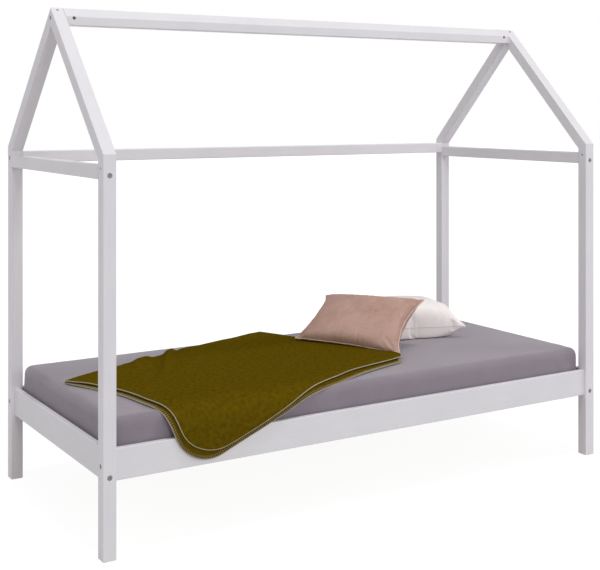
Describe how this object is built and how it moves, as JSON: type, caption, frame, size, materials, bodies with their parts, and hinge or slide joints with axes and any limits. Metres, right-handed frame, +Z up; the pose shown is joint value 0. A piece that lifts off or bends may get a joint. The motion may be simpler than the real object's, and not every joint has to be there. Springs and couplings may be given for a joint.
{
  "type": "house frame bed",
  "caption": "Child's bed with a house-shaped frame: square posts, mitred rafters, a ridge beam, a back eave beam, low rails over slats, and a mattress with throw and cushions.",
  "frame": {"origin": "bottom centre of the bounding box, on the floor under the middle of the bed", "axes": "+X from the foot end to the head end, +Y from the open front to the back, +Z up"},
  "size_m": [2.08, 0.972, 1.7322],
  "materials": {
    "painted_timber": "white lacquer over sanded beech or pine, with a slight grain",
    "slat_pine": "planed raw pine",
    "zinc_steel": "dark zinc plate",
    "beech_dowel": "fluted raw beech",
    "foam": "open-cell foam",
    "sheet_cotton": "fine grey-mauve cotton jersey",
    "throw_wool": "olive brushed wool",
    "cushion_cream": "cream cotton",
    "cushion_pink": "dusty pink linen"
  },
  "bodies": {
    "frame": {"post_front_left": "painted_timber", "post_front_right": "painted_timber", "post_back_left": "painted_timber", "post_back_right": "painted_timber", "rafter_left_front": "painted_timber", "rafter_left_back": "painted_timber", "rafter_right_front": "painted_timber", "rafter_right_back": "painted_timber", "ridge_beam": "painted_timber", "eave_beam_back": "painted_timber", "gable_crossbar_left": "painted_timber", "gable_crossbar_right": "painted_timber", "side_rail_front": "painted_timber", "side_rail_back": "painted_timber", "end_board_foot": "painted_timber", "end_board_head": "painted_timber", "ledger_front": "slat_pine", "ledger_back": "slat_pine", "slat_01": "slat_pine", "slat_02": "slat_pine", "slat_03": "slat_pine", "slat_04": "slat_pine", "slat_05": "slat_pine", "slat_06": "slat_pine", "slat_07": "slat_pine", "slat_08": "slat_pine", "slat_09": "slat_pine", "slat_10": "slat_pine", "slat_11": "slat_pine", "slat_12": "slat_pine", "slat_13": "slat_pine", "slat_14": "slat_pine", "slat_15": "slat_pine", "slat_screws": "zinc_steel", "ledger_screws": "zinc_steel", "rail_bolts": "zinc_steel", "end_board_bolts": "zinc_steel", "crossbar_bolts": "zinc_steel", "eave_beam_bolts": "zinc_steel", "ridge_bolts": "zinc_steel", "rail_barrel_nuts": "zinc_steel", "end_board_barrel_nuts": "zinc_steel", "crossbar_barrel_nuts": "zinc_steel", "eave_beam_barrel_nuts": "zinc_steel", "ridge_barrel_nuts": "zinc_steel", "rail_dowels": "beech_dowel", "end_board_dowels": "beech_dowel", "crossbar_dowels": "beech_dowel", "eave_beam_dowels": "beech_dowel", "ridge_dowels": "beech_dowel", "rafter_dowels": "beech_dowel", "apex_screws": "zinc_steel"},
    "mattress": {"mattress_core": "foam", "fitted_sheet": "sheet_cotton"},
    "throw": {"throw_blanket": "throw_wool"},
    "cushion_square": {"cushion_square": "cushion_cream"},
    "cushion_long": {"cushion_long": "cushion_pink"}
  },
  "joints": [
    {"name": "mattress_lift", "type": "slide", "parent": "frame", "child": "mattress", "axis": [0, 0, 1], "range_m": [0, 0.25]},
    {"name": "throw_lift", "type": "slide", "parent": "mattress", "child": "throw", "axis": [0, 0, 1], "range_m": [0, 0.2]},
    {"name": "cushion_square_lift", "type": "slide", "parent": "throw", "child": "cushion_square", "axis": [0, 0, 1], "range_m": [0, 0.2]},
    {"name": "cushion_long_lift", "type": "slide", "parent": "cushion_square", "child": "cushion_long", "axis": [0, 0, 1], "range_m": [0, 0.2]}
  ]
}
